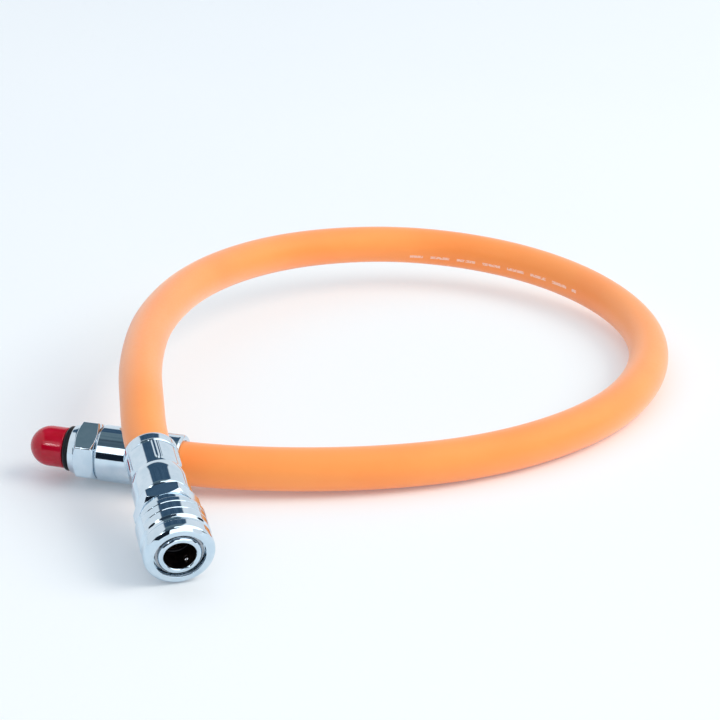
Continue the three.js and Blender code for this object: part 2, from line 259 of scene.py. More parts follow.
CHROME = chrome_material()
STEEL = metal_material(
    "spring_steel", light=(0.42, 0.44, 0.47, 1), dark=(0.30, 0.32, 0.35, 1), rough=0.22, scale=700)
BALL = metal_material(
    "ball_steel", light=(0.85, 0.87, 0.9, 1), dark=(0.78, 0.8, 0.83, 1), rough=0.05, scale=900)
BRASS = metal_material(
    "brass", light=(0.62, 0.45, 0.2, 1), dark=(0.5, 0.35, 0.15, 1), rough=0.22, scale=600)
# Painted shade: near-black brown for the bore's faces, standing in for the shade deep in the nose.
BORE = metal_material(
    "bore_painted_shade", light=(0.13, 0.095, 0.08, 1), dark=(0.06, 0.045, 0.04, 1), rough=0.34, scale=500)
ACETAL = rubber_material("black_acetal", light=(0.012, 0.012, 0.013, 1),
                         dark=(0.007, 0.007, 0.008, 1), rough=0.4, scale=500)
SEAL = rubber_material("seal_rubber", light=(0.009, 0.011, 0.015, 1),
                       dark=(0.005, 0.006, 0.009, 1), rough=0.38, scale=500, shine=0.2)
LINER = rubber_material("liner_rubber", light=(0.03, 0.03, 0.034, 1),
                        dark=(0.018, 0.018, 0.02, 1), rough=0.6, scale=300)
YARN = rubber_material("braid_yarn", light=(0.80, 0.77, 0.70, 1),
                       dark=(0.62, 0.59, 0.52, 1), rough=0.85, scale=900)
HOSE = hose_material()
CAP = cap_material()

# ---------------------------------------------------------------- mesh helpers

SAME_POINT = 1e-6
LONGEST_CUT = 0.45  # the share of an edge that one rounded corner may take


def finish_piece(name, vertices, faces, material, place=None, body="hose", slot=None,
                 replaces=(), weighted=True):
    """A mesh in mm in a fitting's own frame becomes a piece in metres in the CAD's frame."""
    move = Matrix.Scale(MM, 4) @ (place or Matrix.Identity(4))
    mesh = bpy.data.meshes.new(name)
    mesh.from_pydata([move @ Vector(v) for v in vertices], [], faces)
    mesh.validate()
    mesh.update()
    mesh.shade_smooth()
    mesh.materials.append(material)
    piece = bpy.data.objects.new(name, mesh)
    bpy.context.scene.collection.objects.link(piece)
    if weighted:
        modifier = piece.modifiers.new("weighted", "WEIGHTED_NORMAL")
        modifier.keep_sharp = True
        modifier.weight = 50
    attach(piece, body)
    if replaces:
        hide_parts(*replaces)
    return piece


def rounded(profile, radius=0.15, steps=3):
    """A closed outline of (radius, along) points with its corners turned into small arcs.
    A point with a third number uses that as its own corner radius."""
    profile = [p for i, p in enumerate(profile)
               if math.dist(p[:2], profile[i - 1][:2]) > SAME_POINT]
    count = len(profile)
    result = []
    for i, point in enumerate(profile):
        here = np.array(point[:2], float)
        corner = point[2] if len(point) > 2 else radius
        before = np.array(profile[i - 1][:2], float)
        after = np.array(profile[(i + 1) % count][:2], float)
        to_before, to_after = before - here, after - here
        lengths = np.linalg.norm(to_before), np.linalg.norm(to_after)
        if here[0] < SAME_POINT or corner <= 0:
            result.append(tuple(here))
            continue
        reach = min(corner, LONGEST_CUT * lengths[0], LONGEST_CUT * lengths[1])
        start = here + to_before / lengths[0] * reach
        end = here + to_after / lengths[1] * reach
        for k in range(steps + 1):
            t = k / steps
            result.append(tuple((1 - t) ** 2 * start + 2 * t * (1 - t) * here + t * t * end))
    return result


def grid_faces(columns, rows):
    """Quads between columns of points that close on themselves both ways."""
    faces = []
    for c in range(columns):
        following = (c + 1) % columns
        for r in range(rows):
            up = (r + 1) % rows
            faces.append((c * rows + r, c * rows + up, following * rows + up, following * rows + r))
    return faces


def outward(vertices, faces):
    """Faces turned over if the closed mesh is inside out."""
    points = np.array(vertices, float)
    volume = 0.0
    for face in faces:
        a = points[face[0]]
        for k in range(1, len(face) - 1):
            volume += np.dot(a, np.cross(points[face[k]], points[face[k + 1]]))
    return faces if volume > 0 else [tuple(reversed(face)) for face in faces]


def turned_mesh(outline, segments=128, reshape=None):
    """Turns a closed outline about Y, in even segments or at the listed angles.
    reshape(angle, radius, along) may change a point's radius."""
    angles = segments
    if isinstance(segments, int):
        angles = [2 * math.pi * c / segments for c in range(segments)]
    vertices = []
    for angle in angles:
        for radius, along in outline:
            if reshape:
                radius = reshape(angle, radius, along)
            vertices.append((radius * math.sin(angle), along, radius * math.cos(angle)))
    faces = grid_faces(len(angles), len(outline))
    return merged(vertices, outward(vertices, faces))


def merged(vertices, faces):
    """Points at one place become one, and faces that lose a corner are tidied."""
    index, kept, where = {}, [], []
    for v in vertices:
        key = tuple(round(x, 6) for x in v)
        if key not in index:
            index[key] = len(kept)
            kept.append(v)
        where.append(index[key])
    tidy = []
    for face in faces:
        corners = []
        for i in face:
            if where[i] not in corners:
                corners.append(where[i])
        if len(corners) > 2:
            tidy.append(tuple(corners))
    return kept, tidy


def turned(name, outline, material, place, fillet=0.12, segments=128, **settings):
    """A turned piece whose outline's corners are rounded first."""
    vertices, faces = turned_mesh(rounded(outline, fillet), segments)
    return finish_piece(name, vertices, faces, material, place, **settings)


def ring_mesh(radius, thickness, along, around=96, section=20):
    """An O-ring: a round section turned about Y."""
    turns = [2 * math.pi * k / section for k in range(section)]
    outline = [(radius + thickness / 2 * math.cos(turn), along + thickness / 2 * math.sin(turn))
               for turn in turns]
    return turned_mesh(outline, around)


def tube_along(points, radius, sides):
    """A capped round tube whose rings follow the points."""
    points = np.array(points, float)
    tangents = np.gradient(points, axis=0)
    tangents /= np.linalg.norm(tangents, axis=1)[:, None]
    side = np.cross(tangents[0], (0.3, 0.2, 1.0))
    side /= np.linalg.norm(side)
    vertices = []
    for point, tangent in zip(points, tangents):
        side = side - tangent * np.dot(side, tangent)
        side /= np.linalg.norm(side)
        other = np.cross(tangent, side)
        for k in range(sides):
            angle = 2 * math.pi * k / sides
            arm = math.cos(angle) * side + math.sin(angle) * other
            vertices.append(tuple(point + radius * arm))
    rows = len(points)
    faces = []
    for r in range(rows - 1):
        for k in range(sides):
            n = (k + 1) % sides
            faces.append((r * sides + k, r * sides + n, (r + 1) * sides + n, (r + 1) * sides + k))
    faces.append(tuple(reversed(range(sides))))
    faces.append(tuple((rows - 1) * sides + k for k in range(sides)))
    return vertices, outward(vertices, faces)


def helix(radius, start, end, turns, steps_per_turn=28, flat_ends=0.6):
    """Points of a spring's wire; its first and last part turn lie flat."""
    count = int(turns * steps_per_turn)
    points = []
    for i in range(count + 1):
        t = i / count * turns
        share = min(max((t - flat_ends) / (turns - 2 * flat_ends), 0), 1)
        angle = 2 * math.pi * t
        along = start + (end - start) * share
        points.append((radius * math.cos(angle), along, radius * math.sin(angle)))
    return points


# ---------------------------------------------------------------- hose

# Each layer's outer and inner radius.
COVER_RADII, BRAID_RADII, LINER_RADII = (6.35, 4.75), (4.45, 4.05), (3.75, 3.15)

# How far along its fitting the hose stops at each end, and where it leaves the coupler.
COUPLER_HOSE_STOP = 30.2
COUPLER_LENGTH = 44.9
STUD_HOSE_STOP = 20.4

# The middle line of the free hose, in millimetres from the coupler round to the stud.
FREE_ROUTE = [
    (7.4, 11.7, 21.6), (8.7, 23.2, 24.5), (11.5, 42.7, 26.3), (15.8, 62.2, 26.3),
    (21.6, 81.7, 25.7), (29.4, 100.2, 24.7), (39.1, 117.7, 23.5), (51.6, 133.7, 22.2),
    (66.6, 147.2, 20.7), (84.1, 157.4, 19.1), (103.6, 163.2, 17.4), (123.6, 163.7, 15.8),
    (142.6, 158.9, 14.1), (159.6, 148.7, 12.5), (173.1, 133.7, 11.1), (182.1, 115.5, 9.8),
    (186.1, 95.7, 8.7), (184.8, 75.2, 7.9), (178.4, 56.2, 7.2), (167.6, 39, 6.8),
    (153.4, 24.7, 6.5), (136.4, 13.9, 6.4), (117.6, 6.6, 6.4), (97.7, 3, 6.5),
    (77.6, 2.8, 6.8), (57.4, 5.4, 7.2), (37.9, 10.2, 7.7),
]


def hose_route(step=2.0):
    """The hose's middle line: a smooth spline through the points, then a point every step mm."""
    start = [COUPLER @ Vector((0, s, 0)) for s in (COUPLER_HOSE_STOP, 37.5, COUPLER_LENGTH)]
    end = [STUD @ Vector((0, s, 0)) for s in (0, 10, STUD_HOSE_STOP)]
    points = np.array([tuple(p) for p in start + [Vector(p) for p in FREE_ROUTE] + end], float)
    knots = np.concatenate([[0], np.cumsum(np.linalg.norm(np.diff(points, axis=0), axis=1))])
    gaps = np.diff(knots)
    slopes = np.diff(points, axis=0) / gaps[:, None]
    count = len(points)
    system = np.zeros((count, count))
    target = np.zeros((count, 3))
    system[0, 0] = system[-1, -1] = 1
    target[0], target[-1] = slopes[0], slopes[-1]
    for i in range(1, count - 1):
        system[i, i - 1:i + 2] = gaps[i], 2 * (gaps[i - 1] + gaps[i]), gaps[i - 1]
        target[i] = 3 * (gaps[i] * slopes[i - 1] + gaps[i - 1] * slopes[i])
    directions = np.linalg.solve(system, target)
    dense = []
    for i in range(count - 1):
        for t in np.linspace(0, 1, 40, endpoint=False):
            a, b = 2 * t ** 3 - 3 * t ** 2 + 1, t ** 3 - 2 * t ** 2 + t
            dense.append(a * points[i] + b * gaps[i] * directions[i] + (1 - a) * points[i + 1]
                         + (t ** 3 - t ** 2) * gaps[i] * directions[i + 1])
    dense = np.array(dense + [points[-1]])
    run = np.concatenate([[0], np.cumsum(np.linalg.norm(np.diff(dense, axis=0), axis=1))])
    even = np.linspace(0, run[-1], int(run[-1] / step) + 1)
    return np.stack([np.interp(even, run, dense[:, k]) for k in range(3)], axis=1), run[-1]


def hose_layer(name, centres, radii, sides, material, slot, node):
    """One layer of the hose, a round tube wall. Its UVs hold the way along and the turn round."""
    tangents = np.gradient(centres, axis=0)
    tangents /= np.linalg.norm(tangents, axis=1)[:, None]
    up = np.array((0.0, 0.0, 1.0))
    rings = len(centres)
    vertices = []
    for radius in radii:
        for centre, tangent in zip(centres, tangents):
            left = np.cross(up, tangent)
            left /= np.linalg.norm(left)
            top = np.cross(tangent, left)
            for k in range(sides):
                angle = 2 * math.pi * k / sides
                arm = math.cos(angle) * top + math.sin(angle) * left
                vertices.append(tuple(centre + radius * arm))
    faces, uvs = [], []
    step = np.linalg.norm(centres[1] - centres[0])
    shell = rings * sides
    for r in range(rings - 1):
        for k in range(sides):
            n = (k + 1) % sides
            a, b = r * sides, (r + 1) * sides
            faces.append((a + k, b + k, b + n, a + n))
            low, high = k / sides, (k + 1) / sides
            here, further = r * step, (r + 1) * step
            uvs.append([(here, low), (further, low), (further, high), (here, high)])
            faces.append((shell + a + n, shell + b + n, shell + b + k, shell + a + k))
            uvs.append([(0, 0)] * 4)
    for r, flip in ((0, False), (rings - 1, True)):
        for k in range(sides):
            n = (k + 1) % sides
            a = r * sides
            face = (a + k, a + n, shell + a + n, shell + a + k)
            faces.append(tuple(reversed(face)) if flip else face)
            uvs.append([(0, 0)] * 4)
    if outward(vertices, faces) is not faces:
        faces = [tuple(reversed(face)) for face in faces]
        uvs = [list(reversed(uv)) for uv in uvs]
    piece = finish_piece(name, vertices, faces, material, slot=slot, replaces=(node,),
                         weighted=False)
    layer = piece.data.uv_layers.new(name="hose")
    layer.data.foreach_set("uv", [x for uv in uvs for pair in uv for x in pair])
    return piece


centres, hose_length = hose_route()
cover = hose_layer("cover", centres, COVER_RADII, 48, HOSE, "orange_rubber", "hose_cover")
braid = hose_layer("braid", centres, BRAID_RADII, 24, YARN, "braid_yarn", "hose_braid")
liner = hose_layer("liner", centres, LINER_RADII, 24, LINER, "liner_rubber", "hose_liner")

# ---------------------------------------------------------------- coupler


def hexagon(angle, across, flat_at, soft=0.14, left=0.12):
    """Distance from the axis to a hexagon's edge. What would stand within soft mm of a corner's tip
    is cut down to the share left, which blunts the corner."""
    turn = (angle - flat_at + math.pi / 6) % (math.pi / 3) - math.pi / 6
    edge = across / 2 / math.cos(turn)
    corner = across / math.sqrt(3) - soft
    return edge if edge < corner else corner + left * (edge - corner)


def hexagon_angles(flat_at, fine=14):
    """Angles for a hexagon's columns: few across each flat, close together at its corners."""
    angles = []
    for side in range(6):
        middle = flat_at + side * math.pi / 3
        spread = [math.sin(math.pi / 2 * k / fine) * math.pi / 6 for k in range(-fine, fine)]
        angles += [middle + turn for turn in spread]
    return angles


HEX_ACROSS = 16
SLIVER = 0.02  # the least step between a hexagon's edge and its cones


def hex_nut(name, start, end, chamfers, bore, place, flat_at):
    """A hexagon turned down at both ends: each column meets the cones exactly where its edge does.
    chamfers lists, for the front and the rear, the cone's radius at the end face and its slope."""
    (front_radius, front_slope), (rear_radius, rear_slope) = chamfers
    vertices = []
    angles = hexagon_angles(flat_at)
    for angle in angles:
        edge = hexagon(angle, HEX_ACROSS, flat_at)
        front = start + max(edge - front_radius, SLIVER) / front_slope
        rear = end - max(edge - rear_radius, SLIVER) / rear_slope
        column = rounded([
            (bore, start, 0), (min(front_radius, edge - SLIVER), start), (edge, front, 0.12),
            (edge, rear, 0.12), (min(rear_radius, edge - SLIVER), end), (bore, end, 0),
        ], 0.08, 2)
        vertices += [(r * math.sin(angle), s, r * math.cos(angle)) for r, s in column]
    faces = grid_faces(len(angles), len(vertices) // len(angles))
    vertices, faces = merged(vertices, outward(vertices, faces))
    return finish_piece(name, vertices, faces, CHROME, place)


def joined(name, parts, body, replaces):
    """Several pieces become one piece that stands for their CAD node."""
    bpy.ops.object.select_all(action="DESELECT")
    for piece in parts:
        piece.parent = None
        piece.select_set(True)
    bpy.context.view_layer.objects.active = parts[0]
    bpy.ops.object.join()
    piece = bpy.context.view_layer.objects.active
    piece.name = name
    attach(piece, body)
    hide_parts(*replaces)


COUPLER_HEX_TURN = math.radians(-10.5)
DARK_BORE_RADIUS = 5.45
DARK_BORE_FROM, DARK_BORE_TO = 0.55, 11.4


def make_coupler_body():
    """The nose with its clip groove, bore and seal groove, and the hexagon, as one piece."""
    nose = turned("nose", [
        (4.65, 0), (5.5, 0), (5.9, 0.4), (5.9, 1.0), (5.55, 1.0, 0.05), (5.55, 1.9, 0.05),
        (5.9, 1.9), (5.9, 13.3), (7.9, 13.3), (7.9, 21.2), (7.2, 21.2), (7.2, 26.3), (4.2, 26.3),
        (4.2, 11.3), (2.9, 11.3), (2.9, 10.2), (4.45, 10.2), (4.45, 8.8), (5.4, 8.8), (5.4, 7.0),
        (4.45, 7.0), (4.38, 6.5), (4.38, 0.3),
    ], CHROME, COUPLER)
    into_coupler = COUPLER.inverted()
    # Painted shade: the bore's faces deep in the nose take the near-black brown.
    nose.data.materials.append(BORE)
    for face in nose.data.polygons:
        middle = into_coupler @ (face.center / MM)
        near_axis = math.hypot(middle.x, middle.z) < DARK_BORE_RADIUS
        if near_axis and DARK_BORE_FROM < middle.y < DARK_BORE_TO:
            face.material_index = 1
    nut = hex_nut("hexagon", 16.9, 21.3, ((8.1, 1.15), (8.15, 1.25)), 7.6, COUPLER,
                  COUPLER_HEX_TURN)
    joined("body", [nose, nut], body="hose", replaces=("coupler_body",))


def make_sleeve():
    """The sliding sleeve: front band, wide groove, and two fine grooves that leave three rings."""
    fine_grooves = []
    for at in (8.7, 11.5):
        fine_grooves += [(9.7, at - 0.17, 0.04), (9.42, at, 0.03), (9.7, at + 0.17, 0.04)]
    turned("sleeve", [
        (7.0, 0.0), (8.5, 0.0, 0.08), (9.33, 0.66, 0.12), (9.6, 1.15, 0.2), (9.7, 1.7, 0.3),
        (9.7, 3.75, 0.1), (9.2, 4.3, 0.25), (9.05, 4.9, 0.5), (9.2, 5.5, 0.25), (9.7, 6.05, 0.1),
        *fine_grooves, (9.7, 13.2, 0.12), (9.35, 13.6, 0.1), (8.2, 13.6), (8.2, 6.2), (6.3, 6.2),
        (6.3, 3.3), (6.5, 2.05), (7.0, 2.05),
    ], CHROME, COUPLER, body="sleeve", slot="chrome", replaces=("sliding_sleeve",))


def smooth(low, high, value):
    """0 below low, 1 above high and an S-shaped rise between."""
    t = min(max((value - low) / (high - low), 0.0), 1.0)
    return t * t * (3 - 2 * t)


CRIMP_RIDGES = 6
CRIMP_SPACING = 60  # degrees
CRIMP_FIRST = 1.2  # degrees from the top of the coupler to the first ridge
# Places along the coupler: where the barrel is reshaped, where it rounds down to the crease, and
# where the dies' pressing, the ridges' rise, their widening and the rear edge begin and end.
BARREL_FROM, BARREL_TO = 28, 41.9
ROUND_FROM, ROUND_TO, ROUND_BEND = 28.2, 31.3, 29
PRESSING, RISE, WIDENING, REAR_EDGE = (31.2, 32.5), (32.7, 33.8), (32.7, 34.6), (41.2, 41.5)
CREASE_RADIUS, CRIMP_DEPTH = 7.66, 0.24
RIDGE_HEIGHT, RIDGE_REACH = 0.32, 8.2  # mm, degrees
SLOPE_HEIGHT = 0.13
FOOT_DEPTH, FOOT_AT, FOOT_WIDTH = 0.03, 9, 1.2  # mm, degrees, degrees


def crimped(angle, radius, along):
    """The barrel rounds down to a crease, and behind it six dies have pressed it onto the hose.
    Between the dies stand narrow ridges that begin as drops. One side of each ridge falls off in a
    low, wide slope, and a shallow line runs along the foot of the ridge on both sides."""
    if radius < 7.1 or not BARREL_FROM < along < BARREL_TO:
        return radius
    if along < ROUND_TO:
        return radius - max(along - ROUND_FROM, 0) ** 2 / ROUND_BEND
    at_rear_edge = smooth(*REAR_EDGE, along)
    pressed = CRIMP_DEPTH * smooth(*PRESSING, along)
    low = CREASE_RADIUS - pressed + (radius - (CREASE_RADIUS - CRIMP_DEPTH)) * at_rear_edge
    half = CRIMP_SPACING / 2
    side = (math.degrees(angle) - CRIMP_FIRST + half) % CRIMP_SPACING - half
    away = abs(side)
    reach = RIDGE_REACH * math.sqrt(smooth(*WIDENING, along)) + 0.01
    ridge = RIDGE_HEIGHT * math.cos(math.pi / 2 * min(away / reach, 1.0)) ** 2
    foot = FOOT_DEPTH * math.exp(-((away - FOOT_AT) / FOOT_WIDTH) ** 2)
    slope = SLOPE_HEIGHT * (1 - smooth(8, 17, side)) * smooth(-1, 1, side)
    standing = smooth(*RISE, along) * (1 - at_rear_edge)
    return low + standing * (max(ridge, slope) - foot)


def crimp_angles():
    """Columns close together at the ridges and further apart between them."""
    steps = [0.9 * k for k in range(-20, 21)] + [21 + 3 * k for k in range(7)]
    return [math.radians(CRIMP_FIRST + CRIMP_SPACING * side + step)
            for side in range(CRIMP_RIDGES) for step in steps]


def make_coupler_ferrule():
    barrel = [(8.0, 23.2 + 0.2 * k) for k in range(92)] + [(7.72, 23.2 + 0.2 * 92)]
    outline = [
        (7.3, 21.4), (7.38, 21.4), (7.9, 22.35), (7.99, 22.6), (8.0, 22.9), *barrel,
        (7.74, 41.9), (7.72, 42.2), (7.72, 43.6), (7.66, 44.2), (7.5, 44.65), (7.3, 44.85),
        (6.9, 44.85), (6.5, 44.5), (6.5, 43.5), (6.8, 43.0), (6.8, 29.9), (4.3, 29.9), (4.3, 28.9),
        (7.4, 28.9),
    ]
    vertices, faces = turned_mesh(outline, crimp_angles(), crimped)
    finish_piece("crimped_ferrule", vertices, faces, CHROME, COUPLER, slot="chrome",
                 replaces=("coupler_ferrule",))


BALL_COUNT = 3
BALL_FIRST, BALL_SPACING = -31, 120  # degrees
BALL_RADIUS, BALL_RING_RADIUS, BALL_ALONG = 1.1, 5.0, 3.6


def make_balls():
    half_turns = [math.pi * k / 24 for k in range(25)]
    outline = [(BALL_RADIUS * math.sin(turn), BALL_RADIUS * math.cos(turn)) for turn in half_turns]
    vertices, faces = turned_mesh(outline, 40)
    for i in range(BALL_COUNT):
        turn = math.radians(BALL_FIRST + BALL_SPACING * i)
        place = COUPLER @ Matrix.Translation((-BALL_RING_RADIUS * math.sin(turn), BALL_ALONG,
                                              -BALL_RING_RADIUS * math.cos(turn)))
        finish_piece(f"ball_{i + 1}", vertices, faces, BALL, place, body=f"ball_{i + 1}",
                     slot="ball_steel", replaces=(f"locking_ball_{i + 1}",), weighted=False)


CLIP_GAP = math.radians(5)
CLIP_GAP_AT = math.radians(-58)


def make_clip():
    """A split ring of flat wire in the nose's groove; its gap stands at the upper left."""
    outline = rounded([(5.65, 1.15), (6.6, 1.15), (6.6, 1.8), (5.65, 1.8)], 0.1)
    columns = 120
    rows = len(outline)
    vertices = []
    for c in range(columns + 1):
        angle = CLIP_GAP_AT + CLIP_GAP / 2 + (2 * math.pi - CLIP_GAP) * c / columns
        vertices += [(r * math.sin(angle), s, r * math.cos(angle)) for r, s in outline]
    faces = []
    for c in range(columns):
        for r in range(rows):
            up = (r + 1) % rows
            faces.append((c * rows + r, c * rows + up, (c + 1) * rows + up, (c + 1) * rows + r))
    faces.append(tuple(reversed(range(rows))))
    faces.append(tuple(columns * rows + r for r in range(rows)))
    finish_piece("clip", vertices, outward(vertices, faces), STEEL, COUPLER, slot="spring_steel",
                 replaces=("sleeve_clip",))


def make_ring(name, radius, thickness, along, place, node):
    vertices, faces = ring_mesh(radius, thickness, along)
    finish_piece(name, vertices, faces, SEAL, place, body="hose", slot="seal_rubber",
                 replaces=(node,), weighted=False)


def make_springs():
    """Both springs. Each row gives the coil's radius, its wire, where it starts and ends along the
    coupler, its turns, the joint that presses its front back, the node it stands for and the share
    of its length that is kept when it is pressed."""
    for name, radius, wire, start, end, turns, joint, node, keep in (
            ("sleeve_coil", 7.05, 0.7, 6.5, 13.0, 4.0, "sleeve_slide", "sleeve_spring", 0.54),
            ("valve_coil", 2.3, 0.5, 13.5, 17.0, 3.4, "valve_push", "valve_spring", 0.57)):
        points = helix(radius, start + wire / 2, end - wire / 2, turns)
        vertices, faces = tube_along(points, wire / 2, 12)
        piece = finish_piece(name, vertices, faces, STEEL, COUPLER, slot="spring_steel",
                             replaces=(node,), weighted=False)
        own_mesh(piece)


def make_valve():
    """The pin with its head, and the seal on the head's front."""
    turned("pin", [
        (0, 8.9), (0.75, 8.9, 0.3), (1.1, 9.3), (1.1, 12.3), (3.6, 12.3), (3.6, 13.2), (0.8, 13.2),
        (0.8, 20.2), (0, 20.2),
    ], ACETAL, COUPLER, 0.1, 64, body="valve", slot="black_acetal", replaces=("valve_pin",))
    turned("valve_face", [
        (2.6, 11.6), (3.6, 11.6), (3.6, 12.0), (2.6, 12.0),
    ], SEAL, COUPLER, 0.1, 64, body="valve", slot="seal_rubber", replaces=("valve_seal",))


def barbed(start, count, pitch, towards, low=2.45, high=2.7):
    """The outline of barbs that point towards higher (1) or lower (-1) places along the axis."""
    outline = []
    for i in range(count):
        foot = start + i * pitch
        crest = foot + pitch - 0.3 if towards > 0 else foot + 0.3
        outline += [(low, foot), (high, crest, 0.1), (low, foot + pitch, 0.05)]
    return outline


def make_coupler_stem():
    turned("stem", [
        (1.8, 20.6), (3.9, 20.6), (3.9, 22.4), (2.8, 22.4), (2.8, 24.0), (3.9, 24.0), (3.9, 26.6),
        (6.4, 26.6), (6.4, 28.6), (4.0, 28.6), (4.0, 30.0), (2.45, 30.0),
        *barbed(31.2, 4, 3.2, -1), (2.2, 44.4), (1.8, 44.4),
    ], BRASS, COUPLER, 0.1, 72, slot="brass", replaces=("coupler_stem",))


make_coupler_body()
make_sleeve()
make_coupler_ferrule()
make_balls()
make_clip()
make_ring("bore_seal", 4.55, 1.1, 7.9, COUPLER, "nipple_seal")
make_ring("stem_ring", 3.5, 0.8, 23.2, COUPLER, "stem_seal")
make_springs()
make_valve()
make_coupler_stem()

# ---------------------------------------------------------------- stud end

STUD_HEX_TURN = math.radians(29) + math.pi
THREAD_PITCH = 1.058
THREAD_MINOR, THREAD_MAJOR = 4.15, 4.76
STUD_BORE = 1.8


def make_stud_ferrule():
    turned("smooth_ferrule", [
        (6.5, 0.1), (7.55, 0.0, 0.2), (8.0, 0.35, 0.3), (8.2, 1.0, 0.3), (8.2, 23.9, 0.15),
        (7.95, 24.25, 0.1), (4.3, 24.25), (4.3, 20.7), (6.8, 20.7), (6.8, 1.2), (6.5, 0.9),
    ], CHROME, STUD, slot="chrome", replaces=("stud_ferrule",))


def thread_mesh(start, turns, columns=48):
    """A screw thread wound over a sleeve: each column's crests are shifted along by its angle."""
    end = start + (turns + 1) * THREAD_PITCH
    count = int(turns * 8) + 1
    vertices = []
    for c in range(columns):
        angle = 2 * math.pi * c / columns
        shift = THREAD_PITCH * c / columns
        column = [(STUD_BORE, start - THREAD_PITCH), (THREAD_MINOR, start - THREAD_PITCH)]
        for r in range(count):
            along = start + r * THREAD_PITCH / 8
            phase = ((along - shift) / THREAD_PITCH) % 1
            ridge = min(1.0, max(0.0, 1.25 - 2.9 * abs(phase - 0.5)))
            fade = max(min(1.0, r / 6, (count - 1 - r) / 6), 0)
            column.append((THREAD_MINOR + (THREAD_MAJOR - THREAD_MINOR) * ridge * fade, along))
        column += [(THREAD_MINOR, end - 0.4), (THREAD_MINOR - 0.35, end), (STUD_BORE, end)]
        vertices += [(r * math.sin(angle), s, r * math.cos(angle)) for r, s in column]
    faces = grid_faces(columns, len(vertices) // columns)
    return vertices, outward(vertices, faces)


def make_port_stud():
    """The barbed tail with the collar, the hexagon and the thread, as one piece."""
    core = turned("stud_core", [
        (STUD_BORE, 1.0), (2.2, 1.0), *barbed(2.2, 5, 3.6, 1), (2.45, 20.3), (4.0, 20.4),
        (4.0, 24.5), (7.4, 24.5), (7.4, 31.1, 0.3), (6.95, 32.75, 0.25), (6.75, 33.0, 0.1),
        (6.5, 33.0, 0.1), (6.5, 32.8, 0.05), (THREAD_MINOR, 32.8), (THREAD_MINOR, 34.8),
        (STUD_BORE, 34.8),
    ], CHROME, STUD)
    nut = hex_nut("stud_hexagon", 24.6, 30.9, ((7.75, 1.5), (7.75, 1.5)), 7.2, STUD, STUD_HEX_TURN)
    vertices, faces = thread_mesh(35.5, 5.4)
    thread = finish_piece("stud_thread", vertices, faces, CHROME, STUD)
    joined("stud", [core, nut, thread], body="hose", replaces=("port_stud",))


DOME_RADIUS, DOME_FROM, DOME_HEIGHT = 5.89, 40.2, 6.1
DOME_STEPS = 24
DOME_FULLNESS = 1.08  # 1 is an ellipse, and more is a little more pointed


def make_cap():
    """A dipped cap: an open rim, a straight wall and a dome."""
    outline = [(5.05, 35.1), (5.65, 35.06), (5.85, 35.12), (5.93, 35.35), (5.93, 35.8),
               (5.9, 36.4), (5.9, 37.2), (5.9, 38.5), (5.9, 39.5), (5.89, 40.1)]
    for k in range(1, DOME_STEPS):
        angle = math.pi / 2 * k / DOME_STEPS
        outline.append((DOME_RADIUS * math.cos(angle) ** DOME_FULLNESS,
                        DOME_FROM + DOME_HEIGHT * math.sin(angle)))
    outline += [(0.0, DOME_FROM + DOME_HEIGHT), (0.0, 42.7), (4.6, 42.7), (5.0, 42.4), (5.05, 42.0)]
    vertices, faces = turned_mesh(outline, 96)
    finish_piece("cap_shell", vertices, faces, CAP, STUD, body="cap", slot="red_vinyl",
                 replaces=("stud_cap",), weighted=False)


make_stud_ferrule()
make_port_stud()
make_ring("port_ring", 5.65, 1.85, 33.97, STUD, "port_seal")
make_cap()

# The valve guide stays as the CAD's own mesh and takes a material.
guide_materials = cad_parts["valve_guide"].data.materials
guide_materials.clear()
guide_materials.append(ACETAL)

# ---------------------------------------------------------------- floor and light

FLOOR_HALF = 3.0
# Shares of white mixed into the floor, all over and in the oval, where the extra white is painted
# light that lifts the hose's shadow and orange bounce inside the loop; where the oval lies and how
# far it reaches, in metres; and the share of that reach over which it is full.
FLOOR_WHITE, OVAL_PAINTED_LIGHT = 0.14, 0.5
OVAL_CENTRE, OVAL_REACH, OVAL_FULL_TO = (0.095, 0.115, 0), (0.105, 0.12, 1), 0.72


def make_floor():
    """A pale painted floor. Camera, glossy and transmission rays see some white mixed into it, and
    more of it in a soft oval inside the loop, painted light that lifts the hose's shadow and orange
    bounce there."""
    half = FLOOR_HALF
    mesh = bpy.data.meshes.new("floor")
    mesh.from_pydata([(-half, -half, 0), (half, -half, 0), (half, half, 0), (-half, half, 0)], [],
                     [(0, 1, 2, 3)])
    material, nodes, shader = new_material("floor_paint", Roughness=0.75)
    place = object_coordinates(nodes)
    tone = nodes.ramp(nodes.noise(place, 3, 2), 0.3, 0.7)
    nodes.feed(shader.inputs["Base Color"], nodes.mix(
        tone, (0.92, 0.95, 0.975, 1), (0.94, 0.965, 0.985, 1)))
    shader.inputs["Specular IOR Level"].default_value = 0.2

    def vector_math(operation, *vectors):
        return nodes.add("ShaderNodeVectorMath", dict(enumerate(vectors)), operation=operation)

    off_centre = vector_math("SUBTRACT", place, OVAL_CENTRE).outputs[0]
    off_centre = vector_math("DIVIDE", off_centre, OVAL_REACH).outputs[0]
    far = vector_math("LENGTH", off_centre).outputs["Value"]
    # Painted light: more white in the oval inside the loop lifts the hose's shadow and orange
    # bounce.
    share = nodes.ramp(far, 1.0, OVAL_FULL_TO, FLOOR_WHITE, OVAL_PAINTED_LIGHT)
    share = nodes.math("MULTIPLY", seen_or_mirrored(nodes), share)
    white = nodes.add("ShaderNodeEmission", {"Color": (0.95, 0.985, 1.0, 1), "Strength": 1.0})
    blend = nodes.add("ShaderNodeMixShader", {0: share, 1: shader.outputs[0], 2: white.outputs[0]})
    nodes.feed(nodes.tree.nodes["Material Output"].inputs["Surface"], blend.outputs[0])
    mesh.materials.append(material)
    floor = bpy.data.objects.new("floor", mesh)
    bpy.context.scene.collection.objects.link(floor)


